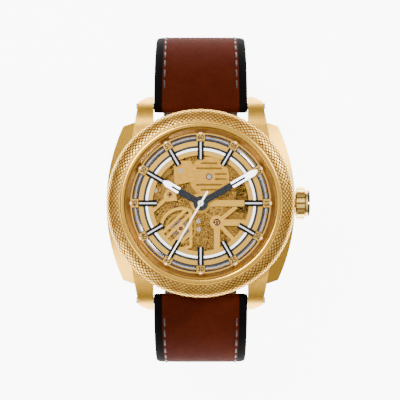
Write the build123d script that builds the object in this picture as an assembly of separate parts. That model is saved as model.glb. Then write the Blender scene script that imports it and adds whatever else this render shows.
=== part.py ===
"""Skeleton wristwatch: cushion case, knurled bezel, open-worked automatic movement and a leather strap.

Millimetres. +Z points out of the dial, +Y to 12 o'clock, +X to 3 o'clock. The origin is on the hands' axis,
at the flat outer face of the case back. The strap hangs below the case as a standing loop.
"""
from build123d import *
import os
from math import atan2, cos, degrees, hypot, radians, sin

# ---------------------------------------------------------------- driving sizes
# Case
bezel_radius = 22.0
bezel_height = 3.3
bezel_lip_radius = 18.8
bezel_lip_height = 0.3
bezel_rim_height = 1.0
crystal_radius = 17.7
crystal_thickness = 1.4
gasket_wall = 0.2
case_bottom = 1.0
case_top = 8.6
corner_x = 18.1
corner_y = 18.0
flank_x = 15.7
flank_y = 18.8
side_bulge = 22.0
shoulder_drop = 0.4
shoulder_fall = 2.5
shoulder_reach = 27.0
case_back_radius = 18.2
case_back_thickness = 2.2
window_radius = 12.2
back_glass_radius = 13.0
back_glass_bottom = 0.3
back_glass_thickness = 1.0
wrench_notches = 6

# Lugs and strap ends
strap_width = 22.0
lug_clearance = 0.1
lug_width = 4.8
lug_tip = 25.0
lug_axis_y = 22.8
lug_axis_z = 4.5
spring_bar_radius = 0.8
running_gap = 0.05

# Crown and winding
stem_height = 5.4
crown_radius = 3.8
crown_start = 22.15
crown_end = 25.0
cap_height = 0.5
crown_flutes = 18
ridge_end = crown_end - 0.75
flute_radius = 0.22
crown_rim_radius = 3.3
inlay_radius = 3.0
stem_radius = 0.45
tube_radius = 1.5
tube_bore = 0.6
tube_end = 23.3
stem_tip = 7.3
stem_shoulder = 11.5

# Movement
movement_radius = 13.35
holder_radius = 16.75
chamber_radius = 16.8
plate_bottom = 6.6
plate_top = 7.4
back_bridge_bottom = 3.5
back_bridge_top = 4.1
wheel_thickness = 0.2
arbor_radius = 0.2
pivot_radius = 0.1
third_axis = (3.8, -4.45)
barrel_axis = (1.95, 6.2)
escape_angle = 191.0
balance_axis = (-4.6, -5.9)
minute_wheel_angle = -20.0

# Dial
dial_radius = 16.7
dial_thickness = 0.4
dial_opening = 11.2
dial_hub_radius = 2.2
channel_depth = 0.2
inner_channel = (12.2, 13.4)
outer_channel = (14.45, 16.1)
inner_ring_radii = (12.3, 12.85)
outer_ring_radii = (14.8, 15.75)
marker_span = (10.2, 14.4)
marker_width = 1.45
marker_height = 0.35
marker_inlay_width = 0.34
dial_bar_width = 1.45
plate_inner = 14.6
plate_width = 1.9
dot_radius = 0.4
dot_circle = 16.55
rehaut_inner = 16.4
rehaut_top_inner = 17.3

# Hands
hand_hub_radius = 1.7
hand_thickness = 0.2
hand_width = 1.5
hand_tip_width = 1.56
lume_margin = 0.04
lume_thickness = 0.07
hour_tip = 10.1
hour_lume_start = 5.8
minute_tip = 15.2
minute_lume_start = 8.4
seconds_tip = 15.0
seconds_tail = 3.2
hour_angle = 150.0
minute_angle = 30.0
seconds_angle = 240.0

# Strap
leather_thickness = 1.6
lining_thickness = 1.0
strap_end_radius = 1.75
strap_droop = 12.0
first_straight = 2.0
upper_bend_12 = 17.2
upper_bend_6 = 14.95
lower_bend = 26.0
loop_depth = 45.0
tail_overlap = 28.0
buckle_axis_y = -2.0
strap_tip_half_width = 9.0
taper_depth = 62.0
hole_count = 7
hole_pitch = 6.0
hole_radius = 0.9
keeper_length = 4.5
keeper_wall = 0.9
keeper_gap = 0.3
tail_clearance = 0.4
keeper_room = 2 * leather_thickness + lining_thickness + keeper_gap + 0.1
tail_drop = keeper_room + keeper_wall + lining_thickness + tail_clearance
buckle_length = 12.0
buckle_bar_radius = 0.7
buckle_wire = 1.1
tongue_width = 2.2

# ---------------------------------------------------------------- sizes that follow from them
crystal_seat = crystal_radius + gasket_wall
bezel_top = case_top + bezel_height
crystal_bottom = bezel_top + 0.1 - crystal_thickness
dial_top = case_top
dial_bottom = dial_top - dial_thickness
lug_inner = strap_width / 2 + lug_clearance
lug_outer = lug_inner + lug_width
lug_bore = spring_bar_radius
case_back_seat = case_back_radius + running_gap
marker_bottom = dial_top + 0.1
marker_top = marker_bottom + marker_height
hour_hand_z = dial_top + 0.7
minute_hand_z = hour_hand_z + 0.4
seconds_hand_z = minute_hand_z + 0.4
loop_floor = -loop_depth
tail_floor = loop_floor - tail_drop


# ---------------------------------------------------------------- shape helpers
def disc(radius, bottom, top, at=(0, 0)):
    """Upright round bar between two heights."""
    bar = Cylinder(radius, top - bottom, align=(Align.CENTER, Align.CENTER, Align.MIN))
    return Pos(at[0], at[1], bottom) * bar


def ring(outer, inner, bottom, top, at=(0, 0)):
    return disc(outer, bottom, top, at) - disc(inner, bottom, top, at)


def slab(sketch, bottom, top):
    """Plan outline raised between two heights."""
    return Pos(0, 0, bottom) * extrude(sketch, amount=top - bottom, dir=(0, 0, 1))


def spot(radius, at):
    return Pos(at[0], at[1]) * Circle(radius)


def strip(start, end, width):
    """Flat bar between two plan points."""
    across = end[0] - start[0]
    along = end[1] - start[1]
    middle = Pos((start[0] + end[0]) / 2, (start[1] + end[1]) / 2)
    return middle * Rot(0, 0, degrees(atan2(along, across))) * Rectangle(hypot(across, along), width)


def outline(*points):
    return Polygon(*points, align=None)


def polar(radius, angle):
    return (radius * cos(radians(angle)), radius * sin(radians(angle)))


def x_bar(radius, start, end, y=0.0, z=0.0):
    """Round bar along X."""
    bar = Cylinder(radius, end - start, align=(Align.CENTER, Align.CENTER, Align.MIN))
    return Pos(start, y, z) * Rot(0, 90, 0) * bar


def block(x, y, z):
    """Box from its ranges on the three axes."""
    size = Box(x[1] - x[0], y[1] - y[0], z[1] - z[0], align=(Align.MIN, Align.MIN, Align.MIN))
    return Pos(x[0], y[0], z[0]) * size


def turned(*profile):
    """Solid of revolution about Z from radius and height pairs."""
    return revolve(Plane.XZ * outline(*profile), Axis.Z)


def joined(shapes):
    """One shape made of all the given ones."""
    shapes = list(shapes)
    total = shapes[0]
    for shape in shapes[1:]:
        total = total + shape
    return total


def group(shapes):
    """Separate solids kept side by side in one node."""
    solids = []
    for shape in shapes:
        solids.extend(shape.solids())
    return Compound(children=solids)


# ---------------------------------------------------------------- gears
def tooth_outline(teeth, module, phase):
    """Flat-sided teeth; one tooth is centred on the phase angle."""
    tip = module * (teeth / 2 + 0.9)
    root = module * (teeth / 2 - 1.15)
    pitch = 360 / teeth
    points = []
    for tooth in range(teeth):
        middle = phase + tooth * pitch
        points.append(polar(root, middle - 0.30 * pitch))
        points.append(polar(tip, middle - 0.11 * pitch))
        points.append(polar(tip, middle + 0.11 * pitch))
        points.append(polar(root, middle + 0.30 * pitch))
    return outline(*points)


def meshed_phase(line_angle, teeth, phase, partner_teeth):
    """Phase of the partner gear that puts its gap on this gear's tooth."""
    offset = (line_angle - phase) % (360 / teeth)
    return line_angle + 180 + offset * teeth / partner_teeth + 180 / partner_teeth


def spoked(teeth, module, phase, spokes, hub, rim):
    """Toothed wheel with its spokes cut out between the hub and the rim."""
    inside = module * (teeth / 2 - 1.15) - rim
    arms = joined(Rot(0, 0, 360 / spokes * arm) * Pos(inside / 2, 0) * Rectangle(inside + 1, 0.45)
                  for arm in range(spokes))
    windows = Circle(inside) - Circle(hub) - arms
    return tooth_outline(teeth, module, phase) - windows


def distance_between(first, second):
    return hypot(second[0] - first[0], second[1] - first[1])


def angle_between(first, second):
    return degrees(atan2(second[1] - first[1], second[0] - first[0]))


# Tooth counts of the going train, the motion work and the barrel
barrel_teeth, centre_leaves = 72, 12
centre_teeth, third_leaves = 80, 10
third_teeth, fourth_leaves = 75, 10
fourth_teeth, escape_leaves = 96, 8
cannon_leaves, minute_teeth = 12, 36
minute_leaves, hour_teeth = 10, 40
escape_teeth = 15
ratchet_teeth = 36

CENTRE = (0, 0)
third_distance = distance_between(CENTRE, third_axis)
barrel_distance = distance_between(CENTRE, barrel_axis)
centre_module = 2 * third_distance / (centre_teeth + third_leaves)
third_module = 2 * third_distance / (third_teeth + fourth_leaves)
barrel_module = 2 * barrel_distance / (barrel_teeth + centre_leaves)
escape_distance = third_distance + 0.05
escape_axis = polar(escape_distance, escape_angle)
escape_module = 2 * escape_distance / (fourth_teeth + escape_leaves)
minute_distance = 3.2
minute_axis = polar(minute_distance, minute_wheel_angle)
motion_module = 2 * minute_distance / (cannon_leaves + minute_teeth)
hour_module = 2 * minute_distance / (minute_leaves + hour_teeth)
escape_wheel_radius = 1.9
pallet_distance = 2.4
pallet_axis = (
    escape_axis[0] + pallet_distance * cos(radians(angle_between(escape_axis, balance_axis))),
    escape_axis[1] + pallet_distance * sin(radians(angle_between(escape_axis, balance_axis))),
)

# Heights of the wheels in the movement
third_wheel_z = 4.35
fourth_wheel_z = 4.9
centre_wheel_z = 5.5
barrel_z = 6.05
escape_wheel_z = 6.0
motion_z = plate_top + 0.1
hour_wheel_z = motion_z + 0.3
balance_z = plate_top + 0.15
bridge_bottom = hour_wheel_z + wheel_thickness + 0.15
bridge_top = dial_top - 0.05
centre_tube_radius = 0.45
cannon_radius = 0.75
hour_tube_radius = 1.05
sleeve_gap = 0.06


# ---------------------------------------------------------------- case
def case_plan():
    """Cushion outline with bulging sides and flat ends."""
    right = ThreePointArc((corner_x, -corner_y), (side_bulge, 0), (corner_x, corner_y))
    left = ThreePointArc((-corner_x, corner_y), (-side_bulge, 0), (-corner_x, -corner_y))
    top = Polyline((corner_x, corner_y), (flank_x, flank_y), (-flank_x, flank_y), (-corner_x, corner_y))
    bottom = Polyline((-corner_x, -corner_y), (-flank_x, -flank_y), (flank_x, -flank_y),
                      (corner_x, -corner_y))
    return make_face(Curve() + [right, top, left, bottom])


def lug_side():
    """Lug seen from the side, on the YZ plane."""
    lug_top = case_top - 0.15
    top = Polyline((12.0, case_bottom + 0.6), (12.0, lug_top), (17.4, lug_top))
    back = ThreePointArc((17.4, lug_top), (22.6, 6.9), (lug_tip, 3.6))
    under = Polyline((lug_tip, 3.6), (lug_tip - 0.5, 2.0), (19.0, case_bottom + 0.6), (12.0, case_bottom + 0.6))
    return make_face(Curve() + [top, back, under])


def lug():
    side = extrude(Plane.YZ * lug_side(), amount=lug_outer + 1)
    plan = outline((lug_inner, 12), (lug_outer + 0.3, 12), (lug_outer, 16), (lug_outer - 1.4, 23.8),
                   (lug_inner + 1.2, lug_tip), (lug_inner, lug_tip))
    return side & slab(plan, 0, case_top + 1)


def mid_case():
    shoulder_edge = case_top - shoulder_drop
    shell = slab(case_plan(), case_bottom, case_top)
    shell = chamfer(shell.faces().sort_by(Axis.Z)[0].outer_wire().edges(), 0.8)
    dome = turned((0, 0), (shoulder_reach, 0), (shoulder_reach, shoulder_edge - shoulder_fall),
                  (bezel_radius - 0.1, shoulder_edge), (bezel_radius - 0.4, case_top), (0, case_top))
    one_lug = lug()
    upper_lugs = one_lug + mirror(one_lug, Plane.YZ)
    body = (shell & dome) + upper_lugs + mirror(upper_lugs, Plane.XZ)
    body -= disc(chamber_radius, case_back_thickness, case_top + 1)
    body -= disc(case_back_seat, 0, case_back_thickness)
    body -= ring(17.8, 17.2, case_back_thickness, case_back_thickness + 0.4)
    body -= x_bar(tube_radius, 10, side_bulge + 1, z=stem_height)
    for side in (1, -1):
        body -= x_bar(lug_bore, -lug_outer + 0.8, lug_outer - 0.8, side * lug_axis_y, lug_axis_z)
    return body


def bezel():
    rim_top = case_top + bezel_rim_height
    lip_foot = bezel_top - bezel_lip_height
    return turned((crystal_seat, case_top), (bezel_radius - 0.4, case_top), (bezel_radius, case_top + 0.4),
                  (bezel_radius, rim_top), (bezel_lip_radius + 0.9, lip_foot - 0.25),
                  (bezel_lip_radius, lip_foot), (bezel_lip_radius, bezel_top), (crystal_seat, bezel_top))


def crystal():
    dome_top = crystal_bottom + crystal_thickness
    return turned((0, crystal_bottom), (crystal_radius, crystal_bottom), (crystal_radius, dome_top - 0.35),
                  (crystal_radius - 0.35, dome_top - 0.1), (0, dome_top))


def gaskets():
    crystal_seal = ring(crystal_seat, crystal_radius, crystal_bottom, crystal_bottom + 1.1)
    back_seal = ring(17.8, 17.2, case_back_thickness, case_back_thickness + 0.4)
    return group([crystal_seal, back_seal])


def rehaut():
    """Sloped ring between the dial and the crystal, with pockets for the lume dots."""
    slope = turned((rehaut_inner, dial_top), (crystal_seat, dial_top), (crystal_seat, crystal_bottom),
                   (rehaut_top_inner, crystal_bottom), (rehaut_inner, dial_top + 0.25))
    for hour in range(12):
        slope -= disc(dot_radius, dial_top - 1, dial_top + 0.35, polar(dot_circle, 30 * hour))
    return slope


def case_back():
    back = disc(case_back_radius, 0, case_back_thickness) - disc(window_radius, -1, 3)
    back -= disc(back_glass_radius, back_glass_bottom, 3)
    for notch in range(wrench_notches):
        cutter = block((16.6, 19), (-1, 1), (-1, 0.8))
        back -= Rot(0, 0, 360 / wrench_notches * notch + 30) * cutter
    return back


def back_glass():
    """Stepped glass that lies flush with the outer face of the case back."""
    flush = disc(window_radius, 0, back_glass_bottom)
    return flush + disc(back_glass_radius, back_glass_bottom, back_glass_bottom + back_glass_thickness)


def spring_bars():
    reach = lug_outer - 0.8
    return group(x_bar(spring_bar_radius, -reach, reach, side * lug_axis_y, lug_axis_z) for side in (1, -1))


# ---------------------------------------------------------------- crown and stem
def crown():
    knob = x_bar(crown_radius, crown_start + 0.25, ridge_end, z=stem_height)
    knob += x_bar(crown_rim_radius - 0.25, crown_start, crown_end - 0.3, z=stem_height)
    knob += x_bar(crown_rim_radius, crown_end - 0.4, crown_end, z=stem_height)
    for flute in range(crown_flutes):
        angle = 90 + 360 / crown_flutes * flute
        y, z = polar(crown_radius, angle)
        knob -= x_bar(flute_radius, crown_start, ridge_end, y, stem_height + z)
    knob -= x_bar(inlay_radius, crown_end - 0.3, crown_end + 1, z=stem_height)
    knob -= x_bar(tube_radius + 0.25, crown_start - 1, tube_end + 0.3, z=stem_height)
    knob -= x_bar(stem_radius, crown_start, tube_end + 0.8, z=stem_height)
    return knob


def crown_inlay():
    """Domed cap with a slot across it."""
    face = x_bar(inlay_radius, crown_end - 0.3, crown_end + cap_height, z=stem_height)
    cap = fillet(face.edges().sort_by(Axis.X)[-1], cap_height - 0.1)
    return cap - block((crown_end, crown_end + 1), (-0.17, 0.17), (0, 2 * stem_height))


def crown_gasket():
    outer = x_bar(tube_radius + 0.25, crown_start + 0.1, crown_start + 0.35, z=stem_height)
    return outer - x_bar(tube_radius + 0.02, crown_start, crown_start + 1, z=stem_height)


def crown_tube():
    tube = x_bar(tube_radius, holder_radius + running_gap, tube_end, z=stem_height)
    return tube - x_bar(tube_bore, 10, tube_end + 1, z=stem_height)


def winding_stem():
    """Square inner end slides through the winding pinion; the outer end is screwed into the crown."""
    square = block((stem_tip, stem_shoulder), (-0.25, 0.25), (stem_height - 0.25, stem_height + 0.25))
    return square + x_bar(stem_radius, stem_shoulder, tube_end + 0.8, z=stem_height)


def winding_pinion():
    """Sits on the square of the stem and stays in place while the stem slides."""
    drum = x_bar(0.95, 8.2, 9.0, z=stem_height)
    for tooth in range(10):
        y, z = polar(1.0, 36 * tooth)
        drum -= x_bar(0.14, 8.0, 8.5, y, stem_height + z)
    return drum - Pos(9, 0, stem_height) * Box(4, 0.56, 0.56)


# ---------------------------------------------------------------- movement
def movement_holder():
    holder = ring(holder_radius, movement_radius, case_back_thickness, dial_bottom)
    return holder - x_bar(tube_bore + 0.2, 12, 18, z=stem_height)


def main_plate():
    plate = disc(movement_radius, plate_bottom, plate_top)
    plate -= disc(barrel_module * (barrel_teeth / 2) - 0.4, 6, 8, barrel_axis)
    plate -= disc(centre_tube_radius + sleeve_gap, 6, 8)
    plate -= disc(1.0, 6, 8, balance_axis)
    plate -= disc(arbor_radius + 0.15, 6, 8, third_axis)
    plate -= disc(0.5, 6, 8, escape_axis)
    plate -= disc(0.4, 6, 8, pallet_axis)
    plate -= slab(outline((7.6, -2.2), (11.3, -2.2), (11.3, 3.4), (8.4, 3.4)), 6, 8)
    plate -= slab(outline((-8.8, 4.4), (-6.0, 6.9), (-7.4, 8.6), (-10.4, 5.2)), 6, 8)
    for screw_place in plate_screws:
        plate -= disc(0.3, plate_top - 0.5, 8, screw_place)
    return plate + disc(0.3, plate_top, hour_wheel_z + wheel_thickness + 0.05, minute_axis)


plate_screws = [(-0.6, -4.2), (-0.45, -6.1), (-10.6, 3.0), (9.6, 5.4), (0.6, -11.6), (-9.6, -7.6)]
bridge_screws = [(-4.6, 7.6), (7.3, 4.0)]
back_screws = [polar(12.2, angle) for angle in (25, 150, 215, 300)]


def back_pillars():
    return joined(disc(0.6, back_bridge_top, plate_bottom, place) for place in back_screws)


def train_bridge():
    """Back bridge that carries the lower pivots and the rotor's bearing."""
    bridge = disc(movement_radius, back_bridge_bottom, back_bridge_top)
    bridge -= slab(strip((-9.5, 6.0), (-5.5, 9.4), 1.6), 3, 5)
    bridge -= slab(strip((-3.4, -11.4), (2.4, -11.6), 1.2), 3, 5)
    for axis, radius in ((CENTRE, arbor_radius), (third_axis, arbor_radius), (escape_axis, arbor_radius),
                         (balance_axis, arbor_radius), (pallet_axis, arbor_radius), (barrel_axis, 0.5)):
        bridge -= disc(radius + running_gap, back_bridge_bottom + 0.2, 5, axis)
    for place in back_screws:
        bridge -= disc(0.45, 3, back_bridge_bottom + 0.25, place)
    return bridge + back_pillars()


def barrel():
    """Toothed drum that holds the mainspring; it turns about the arbor."""
    phase = meshed_phase(angle_between(CENTRE, barrel_axis), centre_leaves, 0, barrel_teeth)
    teeth = slab(tooth_outline(barrel_teeth, barrel_module, phase), barrel_z, barrel_z + 0.4)
    teeth = Pos(*barrel_axis) * teeth
    drum = teeth + disc(4.9, barrel_z + 0.4, plate_top - 0.05, barrel_axis)
    drum -= ring(4.5, 1.6, barrel_z + 0.3, plate_top - 0.3, barrel_axis)
    return drum - disc(0.55, 5, 9, barrel_axis)


def ratchet_wheel():
    """Ratchet on the barrel arbor, turned by the winding stem."""
    wheel = tooth_outline(ratchet_teeth, 0.16, 0)
    plate = Pos(*barrel_axis) * slab(wheel, back_bridge_top + 0.15, back_bridge_top + 0.4)
    return plate + disc(0.5, back_bridge_bottom + 0.25, bridge_top - 0.05, barrel_axis)


def barrel_bridge():
    """Round cover over the barrel with two ears that stand on the main plate."""
    radius = dial_opening - 0.05 - barrel_distance
    ear = outline((-4.6, 9.9), (-2.2, 9.9), (-1.2, 7.4), (-2.4, 5.0), (-5.75, 4.2), (-6.2, 5.1), (-6.2, 8.7))
    plan = spot(radius, barrel_axis) + ear + strip((5.2, 5.0), bridge_screws[1], 1.5)
    plan += spot(0.95, bridge_screws[1])
    for row, half_length in ((3.1, 1.9), (1.9, 3.0), (-1.9, 3.0), (-3.1, 1.9)):
        slot = strip((barrel_axis[0] - half_length, barrel_axis[1] + row),
                     (barrel_axis[0] + half_length, barrel_axis[1] + row), 0.45)
        plan -= slot
    plan -= strip((barrel_axis[0] + 1.4, barrel_axis[1] + 0.6), (barrel_axis[0] + 4.1, barrel_axis[1] + 0.6), 0.5)
    plan -= strip((barrel_axis[0] + 1.4, barrel_axis[1] - 0.6), (barrel_axis[0] + 4.1, barrel_axis[1] - 0.6), 0.5)
    plan -= spot(0.75, barrel_axis) + Circle(dial_hub_radius + running_gap)
    bridge = slab(plan, bridge_bottom, bridge_top)
    feet = joined(disc(0.45, plate_top, bridge_bottom, place) for place in bridge_screws)
    bridge = bridge + feet
    for place in bridge_screws:
        bridge -= disc(0.3, bridge_top - 0.2, bridge_top + 1, place)
    return bridge


def front_bridge():
    """Open arms around the jewel of the third wheel, reaching to the dial ring."""
    x, y = third_axis
    arms = strip(third_axis, (8.3, -0.85), 0.9) + strip(third_axis, (11.5, y - 0.15), 1.45)
    arms += strip(third_axis, (7.9, -8.7), 0.9) + strip(third_axis, (x, -11.5), 1.4)
    arms += strip((9.9, -6.5), (6.4, -10.0), 0.9) + spot(1.65, third_axis)
    arms = arms & Circle(dial_opening)
    arms -= spot(0.83, third_axis) + strip((0, 0), (12, 0), 1.7)
    return slab(arms, dial_bottom, dial_top)


def escape_bridge():
    """Small plate with one jewel at the left and its arm to the dial ring."""
    plan = outline((-8.7, 1.8), (-7.9, 3.2), (-5.75, 3.0), (-5.6, 0.6), (-8.1, 0.4))
    arm = strip((-7.9, 1.2), (-11.6, -2.2), 0.8) & Circle(dial_opening)
    plate = slab(plan, dial_bottom, dial_top) + slab(arm, dial_bottom, dial_top)
    return plate - disc(0.65, 8, 9, (-7.2, 2.0))


def balance_cock():
    """Arched frame with slanting ribs over the balance wheel."""
    middle = balance_axis
    arch = spot(5.0, middle) - spot(4.3, middle)
    ribs = joined(Pos(*middle) * Rot(0, 0, 45) * Pos(0, shift) * Rectangle(8.9, 0.7)
                  for shift in (-2.3, -0.9, 0.9, 2.3))
    plan = arch + (ribs & spot(4.4, middle)) + strip((-2.3, -2.0), (-2.3, -9.6), 0.7)
    plan += spot(1.0, middle)
    keep = outline((-12, 2), (-1.95, 2), (-1.95, -12), (-12, -12)) & Circle(dial_opening)
    plan = (plan & keep) - spot(0.5, middle)
    cock = slab(plan, dial_bottom, dial_top)
    foot_places = [(middle[0] + 4.65 * cos(radians(a)), middle[1] + 4.65 * sin(radians(a))) for a in (110, 170)]
    return cock + joined(disc(0.32, plate_top, dial_bottom, place) for place in foot_places)


def jewel(outer, hole, bottom, top, at):
    return disc(outer, bottom, top, at) - disc(hole, bottom - 1, top + 1, at)


def jewels():
    pivot_hole = pivot_radius + 0.03
    return group([
        jewel(0.83, pivot_hole, dial_bottom + 0.1, dial_top - 0.02, third_axis),
        jewel(0.65, pivot_hole, dial_bottom + 0.1, dial_top - 0.02, (-7.2, 2.0)),
        jewel(0.5, pivot_hole, dial_bottom + 0.1, dial_top - 0.02, balance_axis),
        jewel(0.75, 0.5 + running_gap, bridge_bottom, bridge_top - 0.02, barrel_axis),
        jewel(0.5, pivot_hole, plate_bottom + 0.2, plate_top, escape_axis),
        jewel(0.4, pivot_hole, plate_bottom + 0.2, plate_top, pallet_axis),
    ])


def slotted_screw(at, head_radius, seat, shank, turn):
    screw = disc(head_radius, seat, seat + 0.22, at) + disc(0.3, seat - shank, seat, at)
    cut = Pos(at[0], at[1], seat + 0.22) * Rot(0, 0, turn) * Box(3, 0.16, 0.2)
    return screw - cut


def movement_screws():
    on_plate = [slotted_screw(place, 0.55, plate_top, 0.5, 37 * number)
                for number, place in enumerate(plate_screws)]
    on_bridge = [slotted_screw(place, 0.6, bridge_top, 0.2, 61 * number + 20)
                 for number, place in enumerate(bridge_screws)]
    at_back = [disc(0.45, back_bridge_bottom - 0.02, back_bridge_bottom + 0.25, place) for place in back_screws]
    return group(on_plate + on_bridge + at_back)


def centre_wheel():
    wheel = slab(spoked(centre_teeth, centre_module, 0, 5, 1.3, 0.5), centre_wheel_z,
                 centre_wheel_z + wheel_thickness)
    leaves = slab(tooth_outline(centre_leaves, barrel_module, 0), centre_wheel_z + wheel_thickness,
                  plate_bottom - 0.1)
    tube = disc(centre_tube_radius, centre_wheel_z, minute_hand_z)
    return wheel + leaves + tube - disc(arbor_radius + sleeve_gap, 5, 12)


def cannon_pinion():
    leaves = slab(tooth_outline(cannon_leaves, motion_module, 0), motion_z - 0.05, motion_z + wheel_thickness)
    sleeve = disc(cannon_radius, motion_z + wheel_thickness, minute_hand_z + hand_thickness)
    return leaves + sleeve - disc(centre_tube_radius, 7, 12)


def minute_wheel():
    line = angle_between(CENTRE, minute_axis)
    phase = meshed_phase(line, cannon_leaves, 0, minute_teeth)
    wheel = slab(spoked(minute_teeth, motion_module, phase, 4, 0.9, 0.35), motion_z, motion_z + wheel_thickness)
    leaves = slab(tooth_outline(minute_leaves, hour_module, 0), motion_z + wheel_thickness,
                  hour_wheel_z + wheel_thickness)
    return Pos(*minute_axis) * (wheel + leaves - disc(0.3 + running_gap, 7, 9))


def hour_wheel():
    line = angle_between(minute_axis, CENTRE)
    phase = meshed_phase(line, minute_leaves, 0, hour_teeth)
    wheel = slab(spoked(hour_teeth, hour_module, phase, 4, 1.35, 0.4), hour_wheel_z,
                 hour_wheel_z + wheel_thickness)
    tube = disc(hour_tube_radius, hour_wheel_z, hour_hand_z + hand_thickness)
    return wheel + tube - disc(cannon_radius + sleeve_gap, 7, 12)


def third_wheel():
    line = angle_between(CENTRE, third_axis)
    phase = meshed_phase(line, centre_teeth, 0, third_leaves)
    wheel = slab(spoked(third_teeth, third_module, 0, 5, 0.9, 0.5), third_wheel_z,
                 third_wheel_z + wheel_thickness)
    leaves = slab(tooth_outline(third_leaves, centre_module, phase), centre_wheel_z - 0.05,
                  centre_wheel_z + wheel_thickness + 0.1)
    arbor = disc(arbor_radius, back_bridge_bottom + 0.25, dial_bottom)
    pivot = disc(pivot_radius, dial_bottom, dial_top - 0.15)
    return Pos(*third_axis) * (wheel + leaves + arbor + pivot)


def fourth_wheel():
    line = angle_between(third_axis, CENTRE)
    phase = meshed_phase(line, third_teeth, 0, fourth_leaves)
    wheel = slab(spoked(fourth_teeth, escape_module, 0, 5, 1.1, 0.5), fourth_wheel_z,
                 fourth_wheel_z + wheel_thickness)
    leaves = slab(tooth_outline(fourth_leaves, third_module, phase), third_wheel_z - 0.05, fourth_wheel_z)
    arbor = disc(arbor_radius, back_bridge_bottom + 0.25, seconds_hand_z + hand_thickness / 2)
    return wheel + leaves + arbor


def escape_wheel():
    line = angle_between(CENTRE, escape_axis)
    phase = meshed_phase(line, fourth_teeth, 0, escape_leaves)
    leaves = slab(tooth_outline(escape_leaves, escape_module, phase), fourth_wheel_z - 0.05,
                  fourth_wheel_z + wheel_thickness + 0.1)
    points = []
    for tooth in range(escape_teeth):
        middle = 360 / escape_teeth * tooth
        points.append(polar(escape_wheel_radius, middle))
        points.append(polar(escape_wheel_radius - 0.05, middle + 3))
        points.append(polar(escape_wheel_radius - 0.55, middle + 7))
        points.append(polar(escape_wheel_radius - 0.55, middle + 19))
    arms = joined(Rot(0, 0, 90 * arm) * Rectangle(2.7, 0.3) for arm in range(2))
    windows = Circle(escape_wheel_radius - 0.8) - Circle(0.5) - arms
    wheel = slab(outline(*points) - windows, escape_wheel_z, escape_wheel_z + wheel_thickness)
    arbor = disc(arbor_radius, back_bridge_bottom + 0.25, plate_bottom + 0.15)
    pivot = disc(pivot_radius, plate_bottom, plate_top - 0.1)
    return Pos(*escape_axis) * (wheel + leaves + arbor + pivot)


def pallet_fork():
    """Lever between the escape wheel and the balance, drawn with the balance on its +X side."""
    reach = distance_between(pallet_axis, balance_axis) - 0.85
    lever = strip((0, 0), (reach - 0.3, 0), 0.3) + Circle(0.32)
    horns = strip((reach - 0.35, 0), (reach, 0.3), 0.16) + strip((reach - 0.35, 0), (reach, -0.3), 0.16)
    stones = strip((0, 0), (-0.1, 1.1), 0.26) + strip((0, 0), (-0.1, -1.1), 0.26)
    plan = lever + horns + stones
    fork = slab(plan, escape_wheel_z, escape_wheel_z + wheel_thickness + 0.1)
    fork += disc(arbor_radius - 0.05, back_bridge_bottom + 0.25, plate_bottom + 0.1)
    fork += disc(pivot_radius, plate_bottom, plate_top - 0.1)
    return Pos(*pallet_axis) * Rot(0, 0, angle_between(pallet_axis, balance_axis)) * fork


def balance_wheel():
    rim = Circle(3.6) - Circle(3.1)
    arms = Rectangle(6.6, 0.5) + Circle(0.6)
    wheel = slab(rim + arms, balance_z, balance_z + 0.3)
    for place in range(8):
        wheel += disc(0.18, balance_z + 0.3, balance_z + 0.45, polar(3.35, 22.5 + 45 * place))
    staff = disc(arbor_radius, back_bridge_bottom + 0.25, dial_bottom)
    staff += disc(pivot_radius, dial_bottom, dial_top - 0.1)
    roller = disc(0.7, escape_wheel_z + 0.45, escape_wheel_z + 0.6)
    toward_fork = polar(0.55, angle_between(balance_axis, pallet_axis))
    pin = disc(0.09, escape_wheel_z, escape_wheel_z + 0.5, toward_fork)
    return Pos(*balance_axis) * (wheel + staff + roller + pin)


def hairspring():
    """Flat coil around the balance staff, as a thin spiral strip."""
    turns = 5
    steps = 12 * turns
    inner, outer = 0.35, 2.3
    width = 0.07

    def coil(shift):
        return [polar(inner + shift + (outer - inner) * step / steps, 30 * step) for step in range(steps + 1)]

    inside = Spline(*coil(0))
    outside = Spline(*coil(width))
    ends = [Line(inside @ 0, outside @ 0), Line(inside @ 1, outside @ 1)]
    band = slab(make_face(Curve() + [inside, outside] + ends), balance_z + 0.36, balance_z + 0.46)
    collet = ring(inner + 0.03, arbor_radius, balance_z + 0.31, balance_z + 0.46)
    return Pos(*balance_axis) * (band + collet)


def rotor_bearing():
    return disc(1.2, 2.25, back_bridge_bottom) + disc(1.9, 2.25, 2.46)


def rotor():
    """Half-round winding weight on two arms."""
    weight = (Circle(13.0) - Circle(9.0)) & (Pos(0, 10) * Rectangle(30, 20))
    arms = strip(polar(2, 60), polar(10, 60), 2.2) + strip(polar(2, 120), polar(10, 120), 2.2)
    return slab(weight + arms + Circle(3.0) - Circle(1.2 + running_gap), 2.5, 3.3)


# ---------------------------------------------------------------- dial and hands
def dial():
    """Ring with two channels, a hub and the bar to 3 o'clock."""
    hub = Circle(dial_hub_radius) + strip((0, 0), (dial_opening + 0.4, 0), dial_bar_width)
    plan = (Circle(dial_radius) - Circle(dial_opening)) + hub
    plate = slab(plan - Circle(hour_tube_radius + 0.15), dial_bottom, dial_top)
    for inner, outer in (inner_channel, outer_channel):
        plate -= ring(outer, inner, dial_top - channel_depth, dial_top + 1)
    return plate


def inner_ring():
    low, high = inner_ring_radii
    return ring(high, low, dial_top - channel_depth, marker_bottom)


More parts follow.
